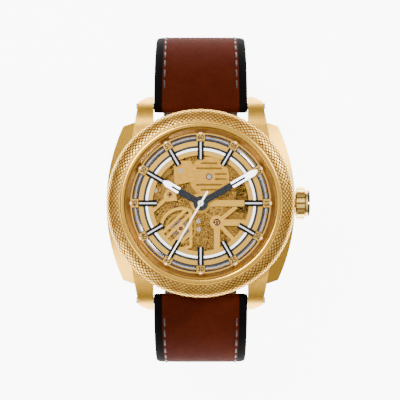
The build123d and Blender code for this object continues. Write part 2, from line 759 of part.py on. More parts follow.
def outer_ring():
    """Rounded silver ring, broken at each hour by its number plate."""
    low, high = outer_ring_radii
    bottom = dial_top - channel_depth
    arched = turned((low, bottom), (high, bottom), (high, bottom + 0.15), ((low + high) / 2 + 0.15, bottom + 0.38),
                    ((low + high) / 2 - 0.15, bottom + 0.38), (low, bottom + 0.15))
    for hour in range(12):
        gap = block((low - 1, high + 1), (-plate_width / 2 - 0.2, plate_width / 2 + 0.2), (8, 10))
        arched -= Rot(0, 0, 30 * hour) * gap
    return arched


def number_plates():
    low = plate_inner
    half = plate_width / 2
    sunk = block((low, outer_channel[1] - 0.1), (-half, half), (dial_top - channel_depth, dial_top))
    tab = block((low, dot_circle - dot_radius - 0.05), (-half, half), (dial_top, dial_top + 0.22))
    return group(Rot(0, 0, 30 * hour) * (sunk + tab) for hour in range(12))


def hour_markers():
    low, high = marker_span
    half = marker_width / 2
    bar = block((low, high), (-half, half), (marker_bottom, marker_top))
    foot = disc(0.4, dial_top, marker_bottom, ((inner_channel[1] + high) / 2, 0))
    groove_half = marker_inlay_width / 2
    groove = block((low + 0.1, high - 0.1), (-groove_half, groove_half), (marker_top - 0.12, marker_top + 1))
    return group(Rot(0, 0, 30 * hour) * (bar + foot - groove) for hour in range(12))


def marker_inlays():
    low, high = marker_span
    half = marker_inlay_width / 2
    inlay = block((low + 0.1, high - 0.1), (-half, half), (marker_top - 0.12, marker_top + 0.03))
    return group(Rot(0, 0, 30 * hour) * inlay for hour in range(12))


def lume_dots():
    return group(disc(dot_radius, dial_top, dial_top + 0.35, polar(dot_circle, 30 * hour))
                 for hour in range(12))


def hand_blade(tip, lume_start):
    """Hand drawn along +X, with a blunt pointed tip."""
    half = hand_tip_width / 2
    blade = strip((0, 0), (lume_start, 0), hand_width)
    blade += outline((lume_start, -half), (tip - 1.0, -half), (tip, -0.3), (tip, 0.3), (tip - 1.0, half),
                     (lume_start, half))
    return blade + Circle(hand_hub_radius)


def hand_lume(tip, lume_start, slot_end):
    """White tip plate with its dark slot left open."""
    half = hand_tip_width / 2 - lume_margin
    end = tip - lume_margin
    plate = outline((lume_start, -half), (end - 1.0, -half), (end, -0.3 + lume_margin), (end, 0.3 - lume_margin),
                    (end - 1.0, half), (lume_start, half))
    return plate - strip((lume_start, 0), (slot_end, 0), 0.5)


def hour_hand():
    blade = hand_blade(hour_tip, hour_lume_start) - Circle(hour_tube_radius)
    return Rot(0, 0, hour_angle) * slab(blade, hour_hand_z, hour_hand_z + hand_thickness)


def hour_lume():
    plate = hand_lume(hour_tip, hour_lume_start, hour_lume_start + 1.95)
    top = hour_hand_z + hand_thickness
    return Rot(0, 0, hour_angle) * slab(plate, top, top + lume_thickness)


def minute_hand():
    blade = hand_blade(minute_tip, minute_lume_start) - Circle(cannon_radius)
    return Rot(0, 0, minute_angle) * slab(blade, minute_hand_z, minute_hand_z + hand_thickness)


def minute_lume():
    plate = hand_lume(minute_tip, minute_lume_start, minute_lume_start + 3.55)
    top = minute_hand_z + hand_thickness
    return Rot(0, 0, minute_angle) * slab(plate, top, top + lume_thickness)


def seconds_hand():
    needle = outline((-seconds_tail, -0.22), (0, -0.2), (seconds_tip, -0.13), (seconds_tip, 0.13), (0, 0.2),
                     (-seconds_tail, 0.22))
    blade = slab(needle + Circle(0.56) - Circle(arbor_radius), seconds_hand_z, seconds_hand_z + hand_thickness)
    return Rot(0, 0, seconds_angle) * blade


# ---------------------------------------------------------------- strap
class Leg:
    """One straight or evenly curved stretch of the strap's middle line."""

    def __init__(self, length=0.0, radius=0.0, turn=0.0):
        self.length = length
        self.radius = radius
        self.turn = turn


def strap_legs(upper_bend, floor_height, end_y):
    """Legs from the spring bar to the flat end, on the side of 12 o'clock."""
    droop = radians(strap_droop)
    bend_bottom = lug_axis_z - first_straight * sin(droop) - upper_bend * cos(droop)
    vertical = bend_bottom - (floor_height + lower_bend)
    side_y = lug_axis_y + first_straight * cos(droop) + upper_bend * (1 - sin(droop))
    return [
        Leg(length=first_straight),
        Leg(radius=upper_bend, turn=90 - strap_droop),
        Leg(length=vertical),
        Leg(radius=lower_bend, turn=90),
        Leg(length=side_y - lower_bend - end_y),
    ]


def side_edges(legs, offset, first_leg=0, last_leg=5):
    """Edges at a distance outside the middle line, and the start and end points of that chain."""
    place = (lug_axis_y, lug_axis_z)
    heading = -strap_droop
    edges = []
    ends = []
    for number, leg in enumerate(legs):
        side = polar(offset, heading + 90)
        start = (place[0] + side[0], place[1] + side[1])
        if leg.radius:
            to_centre = polar(leg.radius, heading - 90)
            centre = (place[0] + to_centre[0], place[1] + to_centre[1])
            half_way = polar(leg.radius + offset, heading + 90 - leg.turn / 2)
            heading -= leg.turn
            all_way = polar(leg.radius, heading + 90)
            place = (centre[0] + all_way[0], centre[1] + all_way[1])
        else:
            step = polar(leg.length, heading)
            place = (place[0] + step[0], place[1] + step[1])
        side = polar(offset, heading + 90)
        end = (place[0] + side[0], place[1] + side[1])
        if first_leg <= number < last_leg:
            if leg.radius:
                middle = (centre[0] + half_way[0], centre[1] + half_way[1])
                edges.append(ThreePointArc(start, middle, end))
            else:
                edges.append(Line(start, end))
            ends.append(start)
            ends.append(end)
    return edges, ends[0], ends[-1]


def band(legs, inside, outside, half_width, first_leg=0, last_leg=5):
    """Strip of even thickness along the legs, as wide as twice half_width."""
    near, near_start, near_end = side_edges(legs, inside, first_leg, last_leg)
    far, far_start, far_end = side_edges(legs, outside, first_leg, last_leg)
    face = make_face(Curve() + near + far + [Line(near_start, far_start), Line(near_end, far_end)])
    return extrude(Plane.YZ * face, amount=half_width, both=True)


def tapered(solid):
    """Narrow the strap evenly from the lugs to the bottom of the loop."""
    half = strap_width / 2
    top = lug_axis_z + 2.5
    wedge = outline((-half, top), (half, top), (strap_tip_half_width, top - taper_depth),
                    (-strap_tip_half_width, top - taper_depth))
    return solid & extrude(Plane.XZ * wedge, amount=60, both=True)


def half_width_at(height):
    """Half of the strap's width at a height."""
    share = (lug_axis_z + 2.5 - height) / taper_depth
    return strap_width / 2 + (strap_tip_half_width - strap_width / 2) * share


def legs_12():
    return strap_legs(upper_bend_12, loop_floor, buckle_axis_y)


def legs_6():
    return strap_legs(upper_bend_6, tail_floor, -tail_overlap)


def strap_leather(legs):
    """Outer leather with the rolled end that holds the spring bar."""
    body = band(legs, 0, leather_thickness, strap_width / 2)
    body += x_bar(strap_end_radius, -strap_width / 2, strap_width / 2, lug_axis_y, lug_axis_z)
    body = tapered(body)
    return body - x_bar(spring_bar_radius + running_gap, -15, 15, lug_axis_y, lug_axis_z)


def strap_12_leather():
    """Half with the buckle; its end is rolled round the buckle bar and notched for the tongue."""
    leather = strap_leather(legs_12())
    roll = 1.5
    half = half_width_at(loop_floor)
    leather += x_bar(roll, -half, half, buckle_axis_y, loop_floor)
    leather -= x_bar(buckle_bar_radius, -15, 15, buckle_axis_y, loop_floor)
    notch_half = tongue_width / 2 + 0.4
    return leather - block((-notch_half, notch_half), (buckle_axis_y - 3, buckle_axis_y + 2.2),
                           (loop_floor - 3, loop_floor + 3))


def strap_12_lining():
    lining = tapered(band(legs_12(), -lining_thickness, 0, strap_width / 2, first_leg=1))
    return lining - block((-15, 15), (-10, buckle_axis_y + 2.2), (loop_floor - 1, loop_floor + 3))


def tail_plan():
    """Plan of the pointed half, with its rounded end."""
    radius = half_width_at(tail_floor)
    straight = outline((-15, -tail_overlap + radius), (15, -tail_overlap + radius), (15, 60), (-15, 60))
    return straight + spot(radius, (0, -tail_overlap + radius))


def tail_cut(solid):
    """Round the tail's end and punch its row of holes."""
    solid = solid & slab(tail_plan(), tail_floor - 10, 20)
    for hole in range(hole_count):
        place = (0, -tail_overlap + 8 + hole_pitch * hole)
        if place[1] < 12:
            solid -= disc(hole_radius, tail_floor - 5, tail_floor + 5, place)
    return solid


def strap_6_leather():
    return mirror(tail_cut(strap_leather(legs_6())), Plane.XZ)


def strap_6_lining():
    lining = tapered(band(legs_6(), -lining_thickness, 0, strap_width / 2, first_leg=1))
    return mirror(tail_cut(lining), Plane.XZ)


def stitching(legs):
    """Two raised rows of thread along the upper bend and the side."""
    row = band(legs, leather_thickness, leather_thickness + 0.14, 0.25, first_leg=1, last_leg=3)
    return group(Pos(side * (strap_width / 2 - 2.6), 0, 0) * row for side in (1, -1))


def stitching_12():
    return stitching(legs_12())


def stitching_6():
    return mirror(stitching(legs_6()), Plane.XZ)


def keeper(start_y, gap):
    """Loop round the buckle half with room for the tail."""
    top = loop_floor + lining_thickness + gap
    half = half_width_at(loop_floor + lining_thickness) + gap
    bottom = loop_floor - keeper_room
    end_y = start_y + keeper_length
    outer = block((-half - keeper_wall, half + keeper_wall), (start_y, end_y),
                  (bottom - keeper_wall, top + keeper_wall))
    outer = fillet(outer.edges().filter_by(Axis.Y), 0.8)
    return outer - block((-half, half), (start_y - 1, end_y + 1), (bottom, top))


def keeper_fixed():
    """Stitched in place: its upper and side walls rest on the strap."""
    return keeper(buckle_axis_y + 3.2, 0)


def keeper_free():
    return keeper(buckle_axis_y + 3.2 + keeper_length + 0.6, keeper_gap)


def buckle_bar():
    half = half_width_at(loop_floor) + 1.4
    return x_bar(buckle_bar_radius, -half, half, buckle_axis_y, loop_floor)


def buckle_frame():
    """Square wire frame hinged on the buckle bar."""
    inner = half_width_at(loop_floor) + 0.25
    outer = inner + 2.2
    end_y = buckle_axis_y - buckle_length
    shape = block((-outer, outer), (end_y, buckle_axis_y),
                  (loop_floor - buckle_wire, loop_floor + buckle_wire))
    shape += x_bar(buckle_wire, -outer, outer, buckle_axis_y, loop_floor)
    shape -= block((-inner, inner), (end_y + 2 * buckle_wire, buckle_axis_y + 3),
                   (loop_floor - 3, loop_floor + 3))
    shape = fillet(shape.edges().filter_by(Axis.Z).sort_by(Axis.Y)[0:2], 1.8)
    return shape - x_bar(buckle_bar_radius + running_gap, -inner - 1.3, inner + 1.3, buckle_axis_y, loop_floor)


def buckle_tongue():
    """Prong on the buckle bar; its tip lies under the frame's end wire."""
    half = tongue_width / 2
    end_y = buckle_axis_y - buckle_length
    eye = x_bar(buckle_bar_radius + 0.65, -half, half, buckle_axis_y, loop_floor)
    under = loop_floor - buckle_wire - 0.05
    side = outline((buckle_axis_y, loop_floor + 0.1), (buckle_axis_y, loop_floor - 1.3),
                   (end_y - 0.3, under - 0.9), (end_y - 0.3, under), (end_y + 2 * buckle_wire + 0.3, under),
                   (buckle_axis_y - 3, loop_floor + 0.1))
    prong = extrude(Plane.YZ * side, amount=half * 0.75, both=True)
    return eye + prong - x_bar(buckle_bar_radius + running_gap, -5, 5, buckle_axis_y, loop_floor)


# ---------------------------------------------------------------- output
NODES = [
    mid_case, bezel, crystal, gaskets, rehaut, case_back, back_glass, spring_bars,
    crown, crown_inlay, crown_gasket, crown_tube, winding_stem, winding_pinion,
    movement_holder, main_plate, train_bridge, barrel, ratchet_wheel, barrel_bridge, front_bridge,
    escape_bridge, balance_cock, jewels, movement_screws, centre_wheel, cannon_pinion, minute_wheel,
    hour_wheel, third_wheel, fourth_wheel, escape_wheel, pallet_fork, balance_wheel, hairspring,
    rotor_bearing, rotor,
    dial, inner_ring, outer_ring, number_plates, hour_markers, marker_inlays, lume_dots,
    hour_hand, hour_lume, minute_hand, minute_lume, seconds_hand,
    strap_12_leather, strap_12_lining, strap_6_leather, strap_6_lining, stitching_12, stitching_6,
    keeper_fixed, keeper_free, buckle_bar, buckle_frame, buckle_tongue,
]

os.makedirs("parts", exist_ok=True)
for node in NODES:
    export_step(node(), f"parts/{node.__name__}.step")
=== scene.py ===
"""Looks of the skeleton wristwatch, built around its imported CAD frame.

Lengths are metres; MM turns millimetres into them. The strap is worked out in millimetres.
"""
import math
import random

import bmesh
import bpy
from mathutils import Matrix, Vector


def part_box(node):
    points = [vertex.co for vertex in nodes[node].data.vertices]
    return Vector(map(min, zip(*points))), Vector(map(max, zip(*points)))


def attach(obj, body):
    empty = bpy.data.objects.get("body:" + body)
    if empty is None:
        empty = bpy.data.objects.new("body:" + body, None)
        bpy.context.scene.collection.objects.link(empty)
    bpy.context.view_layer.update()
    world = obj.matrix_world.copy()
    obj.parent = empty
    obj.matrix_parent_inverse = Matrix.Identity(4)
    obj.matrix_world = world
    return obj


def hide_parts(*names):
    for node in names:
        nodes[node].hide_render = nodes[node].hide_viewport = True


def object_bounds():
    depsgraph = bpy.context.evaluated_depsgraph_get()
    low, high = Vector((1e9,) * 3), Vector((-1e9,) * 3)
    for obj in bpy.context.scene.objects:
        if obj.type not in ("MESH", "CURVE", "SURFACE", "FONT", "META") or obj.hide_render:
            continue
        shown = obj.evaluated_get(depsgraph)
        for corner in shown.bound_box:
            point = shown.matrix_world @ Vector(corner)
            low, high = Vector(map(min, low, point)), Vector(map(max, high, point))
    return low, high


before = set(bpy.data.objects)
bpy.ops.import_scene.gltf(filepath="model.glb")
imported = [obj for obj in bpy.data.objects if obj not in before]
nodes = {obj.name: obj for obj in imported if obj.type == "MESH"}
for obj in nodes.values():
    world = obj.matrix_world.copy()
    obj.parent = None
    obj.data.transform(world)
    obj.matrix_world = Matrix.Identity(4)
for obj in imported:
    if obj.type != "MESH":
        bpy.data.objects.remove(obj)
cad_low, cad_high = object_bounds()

MM = 0.001
random.seed(7)


# ---------------------------------------------------------------- camera, light and floor
def aim(thing, target):
    """Turn a light or camera towards a point."""
    thing.rotation_euler = (Vector(target) - thing.location).to_track_quat("-Z", "Y").to_euler()


def make_camera():
    """Long lens straight above the dial, framed as in the photograph."""
    data = bpy.data.cameras.new("camera")
    camera = bpy.data.objects.new("camera", data)
    bpy.context.collection.objects.link(camera)
    distance = 0.6
    frame_width = 0.0932
    data.sensor_width = 36
    data.lens = data.sensor_width * distance / frame_width
    camera.location = (-0.00016, 0.00075, 0.0086 + distance)
    bpy.context.scene.camera = camera


def area_light(name, place, size, power, target=(0, 0, 0), height=None, tint=(1, 1, 1)):
    data = bpy.data.lights.new(name, "AREA")
    data.energy = power
    data.color = tint
    data.size = size
    if height:
        data.shape = "RECTANGLE"
        data.size_y = height
    light = bpy.data.objects.new(name, data)
    light.location = place
    bpy.context.collection.objects.link(light)
    aim(light, target)


def light_studio():
    """Soft boxes at the upper left, upper right and lower left; the lower right and the horizon stay dim."""
    area_light("key_box", (-0.22, 0.24, 0.66), 0.26, 4.0)
    area_light("right_box", (0.46, 0.30, 0.36), 0.26, 3.0)
    area_light("left_box", (-0.44, -0.36, 0.30), 0.24, 2.2)
    world = bpy.data.worlds.new("studio")
    bpy.context.scene.world = world
    world.use_nodes = True
    tree = world.node_tree
    background = tree.nodes["Background"]
    direction = tree.nodes.new("ShaderNodeTexCoord")
    split = tree.nodes.new("ShaderNodeSeparateXYZ")
    ramp = tree.nodes.new("ShaderNodeValToRGB")
    ramp.color_ramp.elements[0].position = 0.0
    ramp.color_ramp.elements[0].color = (0.30, 0.29, 0.28, 1)
    ramp.color_ramp.elements[1].position = 0.97
    ramp.color_ramp.elements[1].color = (1.0, 1.0, 1.0, 1)
    middle = ramp.color_ramp.elements.new(0.45)
    middle.color = (0.13, 0.125, 0.12, 1)
    tree.links.new(direction.outputs["Generated"], split.inputs[0])
    tree.links.new(split.outputs["Z"], ramp.inputs["Fac"])
    tree.links.new(ramp.outputs["Color"], background.inputs["Color"])
    background.inputs["Strength"].default_value = 1.28


def make_floor():
    mesh = bpy.data.meshes.new("floor")
    half = 2.0
    bottom = cad_low[2]
    corners = [(-half, -half, bottom), (half, -half, bottom), (half, half, bottom), (-half, half, bottom)]
    mesh.from_pydata(corners, [], [(0, 1, 2, 3)])
    floor = bpy.data.objects.new("floor", mesh)
    bpy.context.collection.objects.link(floor)
    look = Look("floor_paper")
    look.colour((0.93, 0.93, 0.93), (0.96, 0.96, 0.96), look.noise(40))
    look.set("Roughness", 0.9)
    look.set("Emission Color", (1.0, 1.0, 1.0, 1.0))
    look.set("Emission Strength", 8.0)
    mesh.materials.append(look.material)


# ---------------------------------------------------------------- materials
class Look:
    """A node material under construction around one Principled shader."""

    def __init__(self, name):
        self.material = bpy.data.materials.new(name)
        self.material.use_nodes = True
        self.tree = self.material.node_tree
        self.shader = self.tree.nodes["Principled BSDF"]
        self.place = self.tree.nodes.new("ShaderNodeTexCoord").outputs["Object"]
        self.bump_normal = None

    def new(self, kind, **settings):
        node = self.tree.nodes.new(kind)
        for key, value in settings.items():
            setattr(node, key, value)
        return node

    def link(self, source, target):
        self.tree.links.new(source, target)

    def set(self, socket, value):
        self.shader.inputs[socket].default_value = value

    def stretched(self, scale):
        """Object place, scaled apart on the three axes."""
        mapping = self.new("ShaderNodeMapping")
        mapping.inputs["Scale"].default_value = scale
        self.link(self.place, mapping.inputs["Vector"])
        return mapping.outputs["Vector"]

    def noise(self, scale, vector=None, detail=3.0, rough=0.5):
        texture = self.new("ShaderNodeTexNoise")
        texture.inputs["Scale"].default_value = scale
        texture.inputs["Detail"].default_value = detail
        texture.inputs["Roughness"].default_value = rough
        self.link(vector or self.place, texture.inputs["Vector"])
        return texture.outputs["Fac"]

    def cells(self, scale, vector=None, feature="F1"):
        texture = self.new("ShaderNodeTexVoronoi", feature=feature)
        texture.inputs["Scale"].default_value = scale
        self.link(vector or self.place, texture.inputs["Vector"])
        return texture.outputs["Distance"]

    def math(self, operation, first, second=None):
        node = self.new("ShaderNodeMath", operation=operation)
        for socket, value in zip(node.inputs, (first, second)):
            if value is None:
                continue
            if isinstance(value, (int, float)):
                socket.default_value = value
            else:
                self.link(value, socket)
        return node.outputs[0]

    def reach(self, centre, across):
        """Distance from an axis through the centre; across is 0 along that axis and 1 along the other two."""
        shifted = self.new("ShaderNodeVectorMath", operation="SUBTRACT")
        self.link(self.place, shifted.inputs[0])
        shifted.inputs[1].default_value = centre
        flat = self.new("ShaderNodeVectorMath", operation="MULTIPLY")
        flat.inputs[1].default_value = across
        self.link(shifted.outputs[0], flat.inputs[0])
        length = self.new("ShaderNodeVectorMath", operation="LENGTH")
        self.link(flat.outputs[0], length.inputs[0])
        return length.outputs["Value"]

    def around(self, centre=(0, 0), rings=6000.0, wobble=0.0006):
        """Noise that only changes with the distance from an upright axis, as turned metal does."""
        distance = self.reach((*centre, 0), (1, 1, 0))
        uneven = self.math("MULTIPLY", self.noise(300), wobble)
        radius = self.math("ADD", distance, uneven)
        texture = self.new("ShaderNodeTexNoise", noise_dimensions="1D")
        texture.inputs["Scale"].default_value = rings
        texture.inputs["Detail"].default_value = 2.0
        self.link(radius, texture.inputs["W"])
        return texture.outputs["Fac"]

    def spread(self, factor, low, high):
        """Map a 0..1 value between two numbers."""
        node = self.new("ShaderNodeMapRange")
        node.inputs["To Min"].default_value = low
        node.inputs["To Max"].default_value = high
        self.link(factor, node.inputs["Value"])
        return node.outputs["Result"]

    def colour(self, dark, light, factor, low=0.3, high=0.7):
        ramp = self.new("ShaderNodeValToRGB")
        ramp.color_ramp.elements[0].color = (*dark, 1)
        ramp.color_ramp.elements[0].position = low
        ramp.color_ramp.elements[1].color = (*light, 1)
        ramp.color_ramp.elements[1].position = high
        self.link(factor, ramp.inputs["Fac"])
        self.link(ramp.outputs["Color"], self.shader.inputs["Base Color"])

    def paint_over(self, factor, paint):
        """Cover the base colour with another one where the factor is 1."""
        under = self.shader.inputs["Base Color"].links[0].from_socket
        mix = self.new("ShaderNodeMix", data_type="RGBA")
        self.link(factor, mix.inputs["Factor"])
        self.link(under, mix.inputs["A"])
        mix.inputs["B"].default_value = (*paint, 1)
        self.link(mix.outputs["Result"], self.shader.inputs["Base Color"])

    def roughness(self, factor, low, high):
        self.link(self.spread(factor, low, high), self.shader.inputs["Roughness"])

    def bump(self, height, depth, strength=1.0):
        """Add relief of a depth in metres on top of any before it."""
        node = self.new("ShaderNodeBump")
        node.inputs["Strength"].default_value = strength
        node.inputs["Distance"].default_value = depth
        self.link(height, node.inputs["Height"])
        if self.bump_normal:
            self.link(self.bump_normal, node.inputs["Normal"])
        self.bump_normal = node.outputs["Normal"]
        self.link(self.bump_normal, self.shader.inputs["Normal"])


GOLD_DARK = (0.64, 0.32, 0.028)
GOLD_LIGHT = (0.84, 0.48, 0.065)
BRIDGE_BRUSH = (700, 5200, 1500)
BARREL_AXIS = (1.95 * MM, 6.2 * MM)


def brushed(name, dark, light, scale, rough=(0.26, 0.42), depth=0.004 * MM, metallic=1.0):
    """Metal with straight brush lines; scale says how fine they are along each axis."""
    look = Look(name)
    lines = look.noise(1.0, look.stretched(scale), detail=4.0)
    look.colour(dark, light, lines)
    look.roughness(lines, *rough)
    look.bump(lines, depth)
    look.set("Metallic", metallic)
    return look.material


def turned(name, dark, light, centre=(0, 0), rings=5000.0, rough=(0.22, 0.38), depth=0.004 * MM):
    """Metal with round brush lines about an upright axis."""
    look = Look(name)
    lines = look.around(centre, rings)
    look.colour(dark, light, lines)
    look.roughness(lines, *rough)
    look.bump(lines, depth)
    look.set("Metallic", 1.0)
    return look.material


def polished(name, dark, light, rough=(0.08, 0.16), metallic=1.0, scale=900.0):
    look = Look(name)
    cloud = look.noise(scale)
    look.colour(dark, light, cloud)
    look.roughness(cloud, *rough)
    look.set("Metallic", metallic)
    return look.material


def painted(name, dark, light, rough=(0.3, 0.5), coat=0.0, grain=3000.0, painted_glow=0.0, gloss=0.5):
    """Paint, enamel or moulded plastic with a faint grain; painted_glow adds emission in the paint's light
    colour, painted light that makes white and cream parts brighter than the lamps alone would.
    """
    look = Look(name)
    cloud = look.noise(grain)
    look.colour(dark, light, cloud)
    look.roughness(cloud, *rough)
    look.bump(cloud, 0.003 * MM)
    look.set("Coat Weight", coat)
    look.set("Specular IOR Level", gloss)
    # Emission is painted light: the part glows though it is no lamp.
    look.set("Emission Color", (*light, 1))
    look.set("Emission Strength", painted_glow)
    return look.material


def pearled(name, dark, light):
    """Round-grained movement plate: overlapping polished spots, with darker specks between them."""
    look = Look(name)
    spots = look.cells(1050.0)
    rings = look.math("SINE", look.math("MULTIPLY", spots, 22.0))
    specks = look.noise(2600.0, detail=5.0, rough=0.7)
    shades = look.math("ADD", look.math("MULTIPLY", rings, 0.22), specks)
    look.colour(dark, light, shades, 0.34, 0.74)
    look.roughness(specks, 0.28, 0.46)
    look.bump(shades, 0.02 * MM)
    look.set("Metallic", 1.0)
    return look.material


def ruby():
    look = Look("ruby")
    cloud = look.noise(2500)
    look.colour((0.045, 0.003, 0.004), (0.13, 0.010, 0.012), cloud)
    look.roughness(cloud, 0.05, 0.12)
    look.set("Coat Weight", 0.6)
    return look.material


def clear_glass():
    """Sapphire crystal: nearly clear, with faint unevenness in its gloss."""
    look = Look("sapphire")
    cloud = look.noise(120)
    look.colour((0.004, 0.005, 0.006), (0.012, 0.014, 0.016), cloud)
    look.roughness(cloud, 0.0, 0.03)
    look.set("Alpha", 0.05)
    look.set("Specular IOR Level", 0.5)
    look.material.surface_render_method = "BLENDED"
    return look.material


def channelled_dial(name, dark, light, enamel, channels):
    """Turned gilt with enamel in its round channels; channels holds (inner, outer) radii."""
    look = Look(name)
    lines = look.around((0, 0), 8000.0)
    look.colour(dark, light, lines)
    radius = look.reach((0, 0, 0), (1, 1, 0))
    filled = None
    for inner, outer in channels:
        past_inner = look.math("GREATER_THAN", radius, inner)
        inside = look.math("MULTIPLY", past_inner, look.math("LESS_THAN", radius, outer))
        filled = inside if filled is None else look.math("ADD", filled, inside)
    look.paint_over(filled, enamel)
    look.link(look.math("SUBTRACT", 1.0, filled), look.shader.inputs["Metallic"])
    look.roughness(lines, 0.30, 0.42)
    look.bump(lines, 0.003 * MM)
    return look.material


def fluted(name, dark, light, flute_shade):
    """Gold crown painted dark in its flutes and in the neck before its rim: painted shade in these hollows.
    """
    axis_height = 5.4 * MM
    crest_radius = 3.72 * MM
    rim_start = 24.58 * MM
    look = Look(name)
    cloud = look.noise(900.0)
    look.colour(dark, light, cloud)
    split = look.new("ShaderNodeSeparateXYZ")
    look.link(look.place, split.inputs[0])
    sunk = look.math("LESS_THAN", look.reach((0, 0, axis_height), (0, 1, 1)), crest_radius)
    before_rim = look.math("LESS_THAN", split.outputs["X"], rim_start)
    # Flute bottoms and neck get the dark colour: painted shade in the hollows.
    look.paint_over(look.math("MULTIPLY", sunk, before_rim), flute_shade)
    look.roughness(cloud, 0.2, 0.3)
    look.set("Metallic", 1.0)
    return look.material


def leather(name, dark, light, grain=1700.0, mottled=160.0, gloss=0.015):
    """Leather: softly mottled colour, cell-shaped grain and fine creases."""
    pore_depth = 0.03 * MM
    look = Look(name)
    mottle = look.noise(mottled, detail=6.0, rough=0.75)
    look.colour(dark, light, mottle, 0.25, 0.75)
    pores = look.cells(grain)
    creases = look.noise(grain * 0.45, detail=6.0, rough=0.65)
    look.roughness(creases, 0.6, 0.8)
    look.bump(pores, pore_depth, 0.6)
    look.bump(creases, pore_depth * 1.4, 0.6)
    look.set("Specular IOR Level", gloss)
    return look.material


def twisted_thread(name, dark, light):
    look = Look(name)
    wave = look.new("ShaderNodeTexWave", wave_type="BANDS", bands_direction="DIAGONAL")
    wave.inputs["Scale"].default_value = 1500.0
    look.link(look.place, wave.inputs["Vector"])
    look.colour(dark, light, wave.outputs["Fac"])
    look.roughness(wave.outputs["Fac"], 0.5, 0.7)
    look.bump(wave.outputs["Fac"], 0.02 * MM)
    return look.material


def gold_materials():
    gilt = ((0.70, 0.36, 0.038), (0.92, 0.54, 0.085))
    shade = {}
    shade["case"] = brushed("gold_case", GOLD_DARK, GOLD_LIGHT, (9000, 500, 9000), (0.26, 0.38))
    # Knurl tops use a lighter copy of the bezel gold (painted highlight) and the groove walls a darker copy
    # (painted shade in the V grooves).
    shade["knurl"] = polished("gold_knurl_painted_highlight", (0.84, 0.50, 0.10), (0.98, 0.68, 0.18), (0.26, 0.36), scale=500.0)
    shade["groove"] = polished("gold_groove_painted_shade", (0.44, 0.24, 0.036), (0.62, 0.37, 0.07), (0.34, 0.46),
                               scale=700.0)
    shade["lip"] = turned("gold_lip", (0.68, 0.35, 0.038), (0.84, 0.49, 0.075), rings=3000.0,
                          rough=(0.16, 0.24))
    # The rehaut is a darker copy of the gold: painted shade for the sunk slope under the bezel lip.
    shade["rehaut"] = turned("gold_rehaut_painted_shade", (0.34, 0.15, 0.014), (0.56, 0.28, 0.034), rings=9000.0,
                             rough=(0.34, 0.46))
    shade["back"] = turned("gold_back", GOLD_DARK, GOLD_LIGHT, rings=4000.0)
    shade["crown"] = polished("gold_crown", (0.76, 0.41, 0.055), (0.92, 0.56, 0.10), (0.20, 0.30))
    # The third colour is the painted shade for the crown's flutes and neck.
    shade["fluted"] = fluted("gold_fluted_crown", (0.88, 0.56, 0.13), (0.98, 0.72, 0.21), (0.30, 0.15, 0.028))
    shade["dial"] = channelled_dial("gilt_dial", *gilt, (0.010, 0.010, 0.012),
                                    ((12.21 * MM, 13.40 * MM), (14.46 * MM, 16.09 * MM)))
    shade["plates"] = brushed("gilt_number_plate", *gilt, (3000, 3000, 3000), (0.30, 0.42))
    shade["bridge"] = brushed("gilt_bridge", *gilt, BRIDGE_BRUSH, (0.30, 0.46), 0.03 * MM)
    shade["barrel_bridge"] = brushed("gilt_barrel_bridge", (0.56, 0.27, 0.026), (0.80, 0.43, 0.055),
                                     BRIDGE_BRUSH, (0.32, 0.46), 0.03 * MM)
    shade["plate"] = pearled("gilt_plate", (0.040, 0.016, 0.003), (0.64, 0.34, 0.055))
    shade["barrel"] = turned("gilt_barrel", (0.36, 0.18, 0.022), (0.62, 0.34, 0.055), BARREL_AXIS)
    shade["wheel"] = turned("gilt_wheel", (0.54, 0.28, 0.032), (0.76, 0.43, 0.07), rings=7000.0,
                            rough=(0.2, 0.3))
    shade["holder"] = painted("gilt_holder", (0.20, 0.11, 0.025), (0.36, 0.20, 0.06), (0.4, 0.5))
    return shade


def light_materials():
    """Steel, silver, luminous paint and glass."""
    shade = {}
    shade["steel"] = brushed("steel", (0.45, 0.45, 0.47), (0.75, 0.75, 0.77), (8000, 900, 8000), (0.15, 0.28))
    shade["warm_steel"] = brushed("warm_steel", (0.48, 0.38, 0.24), (0.80, 0.70, 0.52), (6000, 900, 6000),
                                  (0.2, 0.3))
    shade["silver"] = polished("silver_ring", (0.55, 0.54, 0.62), (0.80, 0.79, 0.86), (0.12, 0.22))
    # White ring, lume, inlays, dots and seconds hand get a painted glow: painted light that brightens them
    # beyond the lamps.
    shade["white_ring"] = painted("white_ring", (0.84, 0.82, 0.79), (0.95, 0.94, 0.92), (0.25, 0.35),
                                  coat=0.2, painted_glow=2.6)
    shade["lume"] = painted("white_lume", (0.88, 0.88, 0.86), (0.96, 0.96, 0.95), (0.45, 0.6),
                            grain=6000.0, painted_glow=4.5)
    shade["inlay"] = painted("silver_inlay", (0.62, 0.60, 0.63), (0.86, 0.84, 0.86), (0.2, 0.3),
                             coat=0.3, painted_glow=0.8)
    shade["dot"] = painted("cream_lume", (0.86, 0.78, 0.56), (0.95, 0.88, 0.68), (0.4, 0.5),
                           grain=6000.0, painted_glow=1.8)
    shade["cream"] = painted("cream_seconds", (0.88, 0.83, 0.68), (0.96, 0.92, 0.79), (0.3, 0.4), painted_glow=2.4)
    shade["glass"] = clear_glass()
    return shade


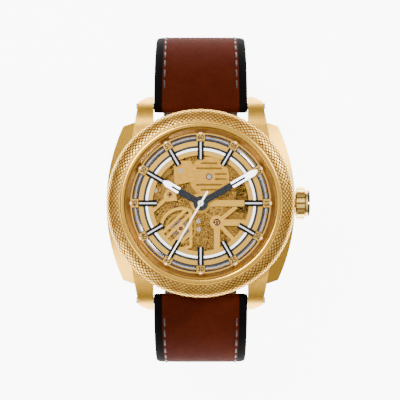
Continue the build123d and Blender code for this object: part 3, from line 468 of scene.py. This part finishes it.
def dark_materials():
    """Enamel, ink, rubber, ruby and leather."""
    shade = {}
    shade["black"] = painted("black_enamel", (0.002, 0.002, 0.003), (0.006, 0.006, 0.007), (0.3, 0.45),
                             gloss=0.12)
    shade["hand"] = painted("slate_hand", (0.006, 0.009, 0.012), (0.013, 0.018, 0.024), (0.35, 0.5),
                            gloss=0.3)
    shade["ink"] = painted("number_ink", (0.010, 0.006, 0.003), (0.030, 0.018, 0.009), (0.4, 0.5))
    shade["rubber"] = painted("black_rubber", (0.01, 0.01, 0.01), (0.03, 0.03, 0.03), (0.6, 0.8),
                              grain=5000.0)
    shade["ruby"] = ruby()
    shade["brown"] = leather("brown_leather", (0.030, 0.0036, 0.0011), (0.058, 0.0090, 0.0026), mottled=60.0)
    shade["edge"] = leather("black_edge", (0.0015, 0.001, 0.001), (0.004, 0.003, 0.0025))
    shade["lining"] = leather("black_lining", (0.006, 0.005, 0.005), (0.018, 0.015, 0.014), grain=1200.0,
                              gloss=0.3)
    shade["thread"] = twisted_thread("brown_thread", (0.012, 0.004, 0.003), (0.040, 0.012, 0.008))
    return shade


NODE_LOOKS = {
    "case": ["mid_case"],
    "rehaut": ["rehaut"],
    "back": ["case_back"],
    "crown": ["crown_tube", "buckle_frame", "buckle_tongue"],
    "fluted": ["crown"],
    "dial": ["dial"],
    "plates": ["number_plates"],
    "bridge": ["front_bridge", "escape_bridge", "balance_cock"],
    "barrel_bridge": ["barrel_bridge"],
    "plate": ["main_plate", "train_bridge"],
    "barrel": ["barrel"],
    "wheel": ["centre_wheel", "third_wheel", "fourth_wheel", "minute_wheel", "hour_wheel", "balance_wheel",
              "rotor"],
    "warm_steel": ["movement_screws"],
    "steel": ["spring_bars", "winding_stem", "winding_pinion", "ratchet_wheel",
              "cannon_pinion", "escape_wheel", "pallet_fork", "hairspring", "rotor_bearing", "buckle_bar"],
    "silver": ["outer_ring"],
    "white_ring": ["inner_ring"],
    "black": ["hour_markers", "crown_inlay"],
    "hand": ["hour_hand", "minute_hand"],
    "lume": ["hour_lume", "minute_lume"],
    "inlay": ["marker_inlays"],
    "dot": ["lume_dots"],
    "cream": ["seconds_hand"],
    "ruby": ["jewels"],
    "glass": ["crystal", "back_glass"],
    "rubber": ["gaskets", "crown_gasket"],
    "holder": ["movement_holder"],
}


def dress(node_name, material):
    """Give a CAD node a better material."""
    thing = nodes[node_name]
    if not thing.material_slots:
        thing.data.materials.append(material)
    for slot in thing.material_slots:
        slot.link = "OBJECT"
        slot.material = material


def soften(node_name, width):
    """Round a CAD node's sharp edges a little, so that they catch the light."""
    bevel = nodes[node_name].modifiers.new("soft_edges", "BEVEL")
    bevel.width = width
    bevel.segments = 2
    bevel.limit_method = "ANGLE"
    bevel.angle_limit = math.radians(35)
    bevel.use_clamp_overlap = True
    bevel.harden_normals = False


# ---------------------------------------------------------------- mesh helpers
def add_piece(name, vertices, faces, materials, face_slots=None, smooth=True):
    mesh = bpy.data.meshes.new(name)
    mesh.from_pydata([tuple(v) for v in vertices], [], faces)
    for material in materials:
        mesh.materials.append(material)
    if face_slots:
        for polygon, number in zip(mesh.polygons, face_slots):
            polygon.material_index = number
    for polygon in mesh.polygons:
        polygon.use_smooth = smooth
    tidy = bmesh.new()
    tidy.from_mesh(mesh)
    bmesh.ops.recalc_face_normals(tidy, faces=tidy.faces)
    tidy.to_mesh(mesh)
    tidy.free()
    piece = bpy.data.objects.new(name, mesh)
    bpy.context.collection.objects.link(piece)
    return piece


def apply_modifiers(piece):
    """Turn a piece's modifiers into plain mesh."""
    graph = bpy.context.evaluated_depsgraph_get()
    mesh = bpy.data.meshes.new_from_object(piece.evaluated_get(graph))
    piece.modifiers.clear()
    piece.data = mesh


# ---------------------------------------------------------------- bezel
def knurled_bezel(shade):
    """Bezel with a real diamond knurl: flat-topped diamonds between two sets of slanting V grooves."""
    low, high = (Vector(corner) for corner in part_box("bezel"))
    outer = high.x
    bottom = low.z
    top = high.z
    bore = 17.9 * MM
    lip = 18.85 * MM
    around_count = 112
    columns = 2 * around_count
    depth = 0.26 * MM
    kept = 0.62
    lip_gap = 0.12 * MM
    shoulder = 0.30 * MM
    slopes = (76, 73, 70, 66, 61, 55, 47, 36, 22, 6)
    rows = len(slopes)
    step = (outer - lip - lip_gap) / sum(math.sin(math.radians(slope)) for slope in slopes)
    path = [(lip + lip_gap, top - shoulder, slopes[0])]
    for slope in slopes:
        radius, height, _ = path[-1]
        out, up = math.sin(math.radians(slope)), math.cos(math.radians(slope))
        path.append((radius + step * out, height - step * up, slope))
    path.reverse()

    def place(column, row, sink):
        """Point of the crowned band, sunk into it; row 0 is at the rim and the last row at the lip."""
        lower = min(int(row), rows - 1)
        share = row - lower
        radius, height, slope = (a + (b - a) * share for a, b in zip(path[lower], path[lower + 1]))
        angle = 2 * math.pi * column / columns
        radius -= sink * math.cos(math.radians(slope))
        height -= sink * math.sin(math.radians(slope))
        return radius * math.cos(angle), radius * math.sin(angle), height

    vertices = []
    faces = []
    slots = []
    corner_number = {}

    def corner(column, row):
        """Number of a groove crossing; they lie where column and row add up to an odd number."""
        key = (column % columns, row)
        if key not in corner_number:
            corner_number[key] = len(vertices)
            vertices.append(place(*key, depth))
        return corner_number[key]

    for row in range(1, rows):
        for column in range(row % 2, columns, 2):
            around = ((1, 0), (0, 1), (-1, 0), (0, -1))
            base = [corner(column + c, row + r) for c, r in around]
            first = len(vertices)
            for c, r in around:
                vertices.append(place(column + kept * c, row + kept * r, 0.0))
            faces.append((first, first + 1, first + 2, first + 3))
            slots.append(0)
            for side in range(4):
                beyond = (side + 1) % 4
                faces.append((base[side], base[beyond], first + beyond, first + side))
                slots.append(1)
    for row, step in ((0, 1), (rows, -1)):
        for column in range(0, columns, 2):
            faces.append((corner(column - 1, row), corner(column + 1, row), corner(column, row + step)))
            slots.append(1)

    inner_side = [(lip + 0.04 * MM, top - 0.34 * MM), (lip, top - 0.12 * MM), (lip - 0.10 * MM, top),
                  (bore - 0.08 * MM, top), (bore - 0.15 * MM, top - 0.05 * MM),
                  (bore - 0.15 * MM, top - 0.16 * MM), (bore, top - 0.18 * MM), (bore, bottom),
                  (outer - 0.45 * MM, bottom), (outer - 0.22 * MM, bottom + 0.20 * MM)]
    loops = [[corner(column, rows) for column in range(1, columns, 2)]]
    for radius, height in inner_side:
        loop = []
        for column in range(1, columns, 2):
            angle = 2 * math.pi * column / columns
            loop.append(len(vertices))
            vertices.append((radius * math.cos(angle), radius * math.sin(angle), height))
        loops.append(loop)
    loops.append([corner(column, 0) for column in range(1, columns, 2)])
    for here, there in zip(loops, loops[1:]):
        for number in range(around_count):
            beyond = (number + 1) % around_count
            faces.append((here[number], here[beyond], there[beyond], there[number]))
            slots.append(2)
    # Slot 0 tops carry the painted highlight, slot 1 groove walls the painted shade, slot 2 the lip.
    materials = [shade["knurl"], shade["groove"], shade["lip"]]
    piece = add_piece("knurled_bezel", vertices, faces, materials, slots)
    for polygon in piece.data.polygons:
        polygon.use_smooth = polygon.material_index == 2
    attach(piece, "case")
    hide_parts("bezel")


# ---------------------------------------------------------------- strap
LUG_Y, LUG_Z = 22.8, 4.5
DROOP = 12.0
FIRST_STRAIGHT = 2.0
UPPER_BEND = {"12": 17.2, "6": 14.95}
LOWER_BEND = 26.0
FLOOR = {"12": -45.0, "6": -51.9}
END_Y = {"12": -2.0, "6": -28.0}
LEATHER = 1.6
LINING = 1.0
TAPER_TOP = LUG_Z + 2.5
TAPER_DEPTH = 62.0
HALF_TOP = 11.0
HALF_TIP = 9.0
INSET = 0.03


def direction(angle):
    return math.cos(math.radians(angle)), math.sin(math.radians(angle))


def half_width(height):
    """Half of the strap's width at a height, in mm."""
    return HALF_TOP + (HALF_TIP - HALF_TOP) * (TAPER_TOP - height) / TAPER_DEPTH


def middle_line(side, spacing=0.9):
    """Places and headings along a half's middle line, in mm, drawn on the side of 12 o'clock."""
    bend = UPPER_BEND[side]
    bend_bottom = LUG_Z - FIRST_STRAIGHT * direction(DROOP)[1] - bend * direction(DROOP)[0]
    vertical = bend_bottom - (FLOOR[side] + LOWER_BEND)
    side_y = LUG_Y + FIRST_STRAIGHT * direction(DROOP)[0] + bend * (1 - direction(DROOP)[1])
    legs = [(FIRST_STRAIGHT, 0, 0), (0, bend, 90 - DROOP), (vertical, 0, 0), (0, LOWER_BEND, 90),
            (side_y - LOWER_BEND - END_Y[side], 0, 0)]
    place = (LUG_Y, LUG_Z)
    heading = -DROOP
    travelled = 0.0
    line = [(place[0], place[1], heading, 0.0)]
    for length, radius, turn in legs:
        reach = length or radius * math.radians(turn)
        steps = max(1, round(reach / spacing))
        for step in range(1, steps + 1):
            share = step / steps
            if radius:
                to_centre = direction(heading - 90)
                centre = (place[0] + radius * to_centre[0], place[1] + radius * to_centre[1])
                facing = heading - turn * share
                out = direction(facing + 90)
                here = (centre[0] + radius * out[0], centre[1] + radius * out[1])
            else:
                facing = heading
                step_to = direction(heading)
                here = (place[0] + length * share * step_to[0], place[1] + length * share * step_to[1])
            line.append((here[0], here[1], facing, travelled + reach * share))
        place = here
        heading = facing
        travelled += reach
    return line


def beside(point, offset):
    """A place of the middle line moved out by an offset, in mm."""
    out = direction(point[2] + 90)
    return point[0] + offset * out[0], point[1] + offset * out[1]


def strip(name, pairs, stations, materials, closed=False, flip=1):
    """Band with an outer and an inner skin.

    pairs holds (outer, inner) YZ places in mm. stations holds, across the width, (share of the half width,
    share of the thickness kept, material number).
    """
    vertices = []
    for outer, inner in pairs:
        centre = ((outer[0] + inner[0]) / 2, (outer[1] + inner[1]) / 2)
        for skin in (outer, inner):
            for share, kept, _ in stations:
                y = centre[0] + (skin[0] - centre[0]) * kept
                z = centre[1] + (skin[1] - centre[1]) * kept
                vertices.append((share * half_width(z) * MM, flip * y * MM, z * MM))
    count = len(stations)
    row = 2 * count
    faces = []
    slots = []
    rows = len(pairs)
    for number in range(rows if closed else rows - 1):
        here = number * row
        there = (number + 1) % rows * row
        for station in range(count - 1):
            slot = stations[station + 1][2] if stations[station + 1][0] <= 0 else stations[station][2]
            faces.append((here + station, here + station + 1, there + station + 1, there + station))
            slots.append(slot)
            faces.append((here + count + station, there + count + station,
                          there + count + station + 1, here + count + station + 1))
            slots.append(slot)
        for station in (0, count - 1):
            faces.append((here + station, there + station, there + count + station, here + count + station))
            slots.append(stations[station][2])
    if not closed:
        for here in (0, (rows - 1) * row):
            for station in range(count - 1):
                faces.append((here + station, here + count + station, here + count + station + 1,
                              here + station + 1))
                slots.append(stations[station][2])
    return add_piece(name, vertices, faces, materials, slots)


def both_sides(half):
    """Mirror stations, which start at the middle of the strap, to its other side."""
    left = [(-share, kept, slot) for share, kept, slot in reversed(half[1:])]
    return left + half


def leather_stations():
    """Across the strap: raised brown middle, a shallow groove and black rolled edges."""
    brown = [(0.0, 1.0), (0.2, 1.0), (0.4, 0.995), (0.6, 0.985), (0.74, 0.965), (0.805, 0.94)]
    black = [(0.825, 0.86), (0.85, 0.90), (0.90, 0.88), (0.95, 0.78), (0.985, 0.58), (1.0, 0.34)]
    return both_sides([(*station, 0) for station in brown] + [(*station, 1) for station in black])


def lining_stations():
    return both_sides([(0.0, 1.0, 0), (0.5, 1.0, 0), (0.88, 1.0, 0), (0.95, 0.9, 0), (0.98, 0.6, 0)])


def rolled_end(outer_radius, inner_radius):
    """Leather folded back round the spring bar: lower leaf, then half a turn up to the start of the line."""
    pairs = []
    along = direction(-DROOP)
    for back in (2.3, 1.2):
        share = back / 2.3
        outer = -outer_radius + 0.55 * share
        inner = -inner_radius - 0.12 * share
        foot = (LUG_Y + back * along[0], LUG_Z + back * along[1], -DROOP, 0)
        pairs.append((beside(foot, outer), beside(foot, inner)))
    for step in range(13):
        out = direction(-DROOP + 270 - 15 * step)
        outer = (LUG_Y + outer_radius * out[0], LUG_Z + outer_radius * out[1])
        inner = (LUG_Y + inner_radius * out[0], LUG_Z + inner_radius * out[1])
        pairs.append((outer, inner))
    return pairs


def cut_away(piece, cutters):
    """Subtract closed cutter meshes from a piece and remove the cutters."""
    for cutter in cutters:
        hole = piece.modifiers.new("cut", "BOOLEAN")
        hole.operation = "DIFFERENCE"
        hole.solver = "EXACT"
        hole.object = cutter
    apply_modifiers(piece)
    for cutter in cutters:
        bpy.data.objects.remove(cutter)


def round_cutter(x, y, bottom, top, radius):
    """Closed upright cylinder used to punch a hole, in mm."""
    sides = 24
    rim = [direction(360 / sides * side) for side in range(sides)]
    vertices = [((x + radius * c) * MM, (y + radius * s) * MM, z * MM) for z in (bottom, top) for c, s in rim]
    faces = [tuple(range(sides)), tuple(range(sides, 2 * sides))]
    for side in range(sides):
        beyond = (side + 1) % sides
        faces.append((side, beyond, sides + beyond, sides + side))
    return add_piece("cutter", vertices, faces, [])


def box_cutter(x, y, z):
    corners = [(a * MM, b * MM, c * MM) for c in z for b in y for a in x]
    faces = [(0, 1, 3, 2), (4, 5, 7, 6), (0, 1, 5, 4), (2, 3, 7, 6), (0, 2, 6, 4), (1, 3, 7, 5)]
    return add_piece("cutter", corners, faces, [])


def narrow_tip(piece, side, end_y, radius):
    """Draw the tail's end in to a half round, seen from below."""
    flip = 1 if side == "12" else -1
    for vertex in piece.data.vertices:
        along = flip * vertex.co.y / MM
        z = vertex.co.z / MM
        if z > FLOOR[side] + 3 or along > end_y + radius:
            continue
        reach = min(1.0, (end_y + radius - along) / radius)
        vertex.co.x *= math.sqrt(max(0.0, 1 - reach * reach)) * 0.999 + 0.001


def dense_end(line, radius, end_y):
    """Add places near the tail's end, closer and closer, so that its half round is smooth."""
    kept = [point for point in line if point[0] > end_y + radius or point[2] > -179]
    height = line[-1][1]
    steps = 16
    for step in range(1, steps + 1):
        y = end_y + radius * (1 - math.sin(math.pi / 2 * step / steps))
        kept.append((y, height, -180.0, 0.0))
    return kept


def strap_half(side, shade):
    body = "strap_" + side
    flip = 1 if side == "12" else -1
    line = middle_line(side)
    radius = half_width(FLOOR[side])
    if side == "6":
        line = dense_end(line, radius, END_Y[side])
    inside_first_roll = 3
    skin = rolled_end(1.68, 0.86)
    for point in line[inside_first_roll:]:
        skin.append((beside(point, LEATHER - INSET), beside(point, 0.02)))
    if side == "12":
        inside_buckle_roll = 3
        skin = skin[:-inside_buckle_roll] + buckle_roll()
    materials = [shade["brown"], shade["edge"]]
    upper = strip(body + "_upper", skin, leather_stations(), materials, flip=flip)
    lining_start = 2.2
    flat_tail_heading = -150
    lined = [point for point in line if point[3] > lining_start or point[2] < flat_tail_heading]
    under = [(beside(point, -0.02), beside(point, INSET - LINING)) for point in lined]
    if side == "12":
        left_bare_at_buckle = 5
        under = under[:-left_bare_at_buckle]
    lining = strip(body + "_lining_skin", under, lining_stations(), [shade["lining"]], flip=flip)
    if side == "6":
        hole_places = [20 - 6 * number for number in range(6)]
        hole_radius = 0.9
        for piece in (upper, lining):
            narrow_tip(piece, side, END_Y[side], radius)
        for piece in (upper, lining):
            holes = [round_cutter(0, place, FLOOR[side] - 4, FLOOR[side] + 4, hole_radius)
                     for place in hole_places]
            cut_away(piece, holes)
    else:
        tongue_notch = box_cutter((-1.45, 1.45), (-6, 0.15), (-48, -42))
        cut_away(upper, [tongue_notch])
    for piece, node, slot in ((upper, "_leather", "brown_leather"), (lining, "_lining", "black_leather")):
        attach(piece, body)
        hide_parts(body + node)
    stitch_rows(side, line, shade)


def buckle_roll():
    """Leather folded round the buckle bar at the end of the 12 o'clock half."""
    y, z = END_Y["12"], FLOOR["12"]
    pairs = []
    for ahead in (1.8, 0.9):
        pairs.append(((y + ahead, z - 1.52), (y + ahead, z + 0.02 - 0.76 * (1.8 - ahead) / 1.8)))
    for step in range(13):
        out = direction(270 - 15 * step)
        pairs.append(((y + 1.45 * out[0], z + 1.45 * out[1]), (y + 0.72 * out[0], z + 0.72 * out[1])))
    pairs.append(((y + 1.2, z + 1.30), (y + 1.2, z + 0.8)))
    pairs.append(((y + 2.1, z + 1.05), (y + 2.1, z + 0.75)))
    return pairs


def stitch_rows(side, line, shade):
    """Separate stitches along both edges, each one a short bowed thread that dips into the leather."""
    body = "strap_" + side
    flip = 1 if side == "12" else -1
    pitch, length, thick = 2.7, 2.15, 0.21
    sunk_end, bow_height = 0.13, 0.17
    row_share = 0.78
    travelled = [0.0]
    for first, second in zip(line, line[1:]):
        travelled.append(travelled[-1] + math.hypot(second[0] - first[0], second[1] - first[1]))

    def at(distance):
        for number in range(len(line) - 1):
            if travelled[number + 1] >= distance:
                span = travelled[number + 1] - travelled[number] or 1.0
                share = (distance - travelled[number]) / span
                first, second = line[number], line[number + 1]
                return tuple(first[axis] + (second[axis] - first[axis]) * share for axis in range(3))
        return line[-1][:3]

    vertices = []
    faces = []
    sides = 8
    stations = 7
    start = 3.6
    while True:
        middle = at(start + length)
        if middle[1] < FLOOR[side] + 4 or start > travelled[-1] - 4:
            break
        for hand in (-1, 1):
            base = len(vertices)
            wander = random.uniform(-0.05, 0.05)
            for station in range(stations):
                share = station / (stations - 1)
                point = at(start + length * share)
                bow = math.sin(math.pi * share)
                rise = LEATHER - INSET - sunk_end + bow_height * bow ** 0.5
                fat = thick * (0.55 + 0.45 * bow ** 0.5)
                out = direction(point[2] + 90)
                across = hand * (row_share * half_width(point[1])) + wander * share
                for corner in range(sides):
                    c, s = direction(360 / sides * corner)
                    y = point[0] + (rise + fat * 0.6 * s) * out[0]
                    z = point[1] + (rise + fat * 0.6 * s) * out[1]
                    vertices.append(((across + fat * c) * MM, flip * y * MM, z * MM))
            for station in range(stations - 1):
                for corner in range(sides):
                    beyond = (corner + 1) % sides
                    a = base + station * sides
                    faces.append((a + corner, a + beyond, a + sides + beyond, a + sides + corner))
            faces.append(tuple(base + corner for corner in range(sides)))
            faces.append(tuple(base + (stations - 1) * sides + corner for corner in range(sides)))
        start += pitch
    piece = add_piece(body + "_stitches", vertices, faces, [shade["thread"]])
    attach(piece, body)
    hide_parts("stitching_" + side)


def keeper_loop(node, body, shade):
    """Leather loop with rounded corners and rolled edges, filling its CAD node's box."""
    low, high = (Vector(corner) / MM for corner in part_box(node))
    wall = 0.9
    corner = 1.1
    half_x = (high.x - low.x) / 2
    centre_z = (high.z + low.z) / 2
    half_z = (high.z - low.z) / 2
    start_y, end_y = low.y, high.y
    path = []
    for turn, (sx, sz) in enumerate(((1, 1), (-1, 1), (-1, -1), (1, -1))):
        for step in range(7):
            c, s = direction(90 * turn + 15 * step)
            path.append((sx * (half_x - corner), sz * (half_z - corner), c, s))
        if turn in (0, 2):
            for share in (0.25, 0.5, 0.75):
                path.append((sx * (half_x - corner) * (1 - 2 * share), sz * (half_z - corner), 0, sz))
    across = [(0.0, 0.35), (0.04, 0.65), (0.1, 0.88), (0.2, 1.0), (0.5, 1.0), (0.8, 1.0), (0.9, 0.88),
              (0.96, 0.65), (1.0, 0.35)]
    vertices = []
    for x, z, c, s in path:
        for skin in (corner, corner - wall):
            for share, kept in across:
                mid = corner - wall / 2
                reach = mid + (skin - mid) * kept
                vertices.append(((x + reach * c) * MM, (start_y + (end_y - start_y) * share) * MM,
                                 (centre_z + z + reach * s) * MM))
    count = len(across)
    row = 2 * count
    faces = []
    for number in range(len(path)):
        here = number * row
        there = (number + 1) % len(path) * row
        for station in range(count - 1):
            faces.append((here + station, here + station + 1, there + station + 1, there + station))
            faces.append((here + count + station, there + count + station, there + count + station + 1,
                          here + count + station + 1))
        for station in (0, count - 1):
            faces.append((here + station, there + station, there + count + station, here + count + station))
    piece = add_piece(node + "_loop", vertices, faces, [shade["brown"]])
    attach(piece, body)
    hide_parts(node)


# ---------------------------------------------------------------- dial details
def dial_numbers(shade):
    """Minute numbers 05 to 60 on the twelve number plates, tops outward."""
    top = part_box("number_plates")[1][2]
    radius = 15.35 * MM
    for hour in range(12):
        label = f"{(hour or 12) * 5:02d}"
        data = bpy.data.curves.new("number_" + label, "FONT")
        data.body = label
        data.size = 1.5 * MM
        data.extrude = 0.015 * MM
        data.offset = 0.055 * MM
        data.align_x = "CENTER"
        data.align_y = "CENTER"
        data.materials.append(shade["ink"])
        number = bpy.data.objects.new("number_" + label, data)
        bpy.context.collection.objects.link(number)
        angle = math.pi / 2 - math.radians(30 * hour)
        number.location = (radius * math.cos(angle), radius * math.sin(angle), top + 0.005 * MM)
        upside = 4 <= hour <= 8
        number.rotation_euler = (0, 0, angle - math.pi / 2 + (math.pi if upside else 0))
        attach(number, "case")


def turned_rings(name, places, profile, material, sides=32):
    """One closed ring for each place, turned from (radius, height) pairs in mm; it rides on the case."""
    vertices = []
    faces = []
    count = len(profile)
    for x, y in places:
        base = len(vertices)
        for side in range(sides):
            c, s = direction(360 / sides * side)
            for radius, height in profile:
                vertices.append(((x + radius * c) * MM, (y + radius * s) * MM, height * MM))
        for side in range(sides):
            here = base + side * count
            there = base + (side + 1) % sides * count
            for point in range(count):
                beyond = (point + 1) % count
                faces.append((here + point, there + point, there + beyond, here + beyond))
    piece = add_piece(name, vertices, faces, [material])
    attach(piece, "case")


def jewel_settings(shade):
    """Raised gold settings pressed round the jewels of the front bridges."""
    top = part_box("jewels")[1][2] / MM
    third_wheel_jewel = (3.8, -4.45)
    left_jewel = (-7.2, 2.0)
    setting = ((0.34, top - 0.05), (0.36, top + 0.03), (0.44, top + 0.05), (0.50, top + 0.03),
               (0.52, top - 0.05))
    turned_rings("jewel_settings", (third_wheel_jewel, left_jewel), setting, shade["crown"])
    collar = ((0.84, top - 0.02), (0.86, top + 0.05), (0.95, top + 0.05), (0.98, top - 0.02))
    turned_rings("third_wheel_collar", (third_wheel_jewel,), collar, shade["crown"], 48)


# ---------------------------------------------------------------- the scene
make_camera()
light_studio()
make_floor()
shades = {**gold_materials(), **light_materials(), **dark_materials()}
for look_name, node_names in NODE_LOOKS.items():
    for node_name in node_names:
        dress(node_name, shades[look_name])
for node_name in ("mid_case", "case_back", "buckle_frame", "buckle_tongue"):
    soften(node_name, 0.12 * MM)
for node_name in ("crown", "front_bridge", "escape_bridge", "balance_cock", "barrel_bridge", "hour_markers",
                  "hour_hand", "minute_hand", "number_plates"):
    soften(node_name, 0.04 * MM)
knurled_bezel(shades)
strap_half("12", shades)
strap_half("6", shades)
keeper_loop("keeper_fixed", "strap_12", shades)
keeper_loop("keeper_free", "free_keeper", shades)
dial_numbers(shades)
jewel_settings(shades)
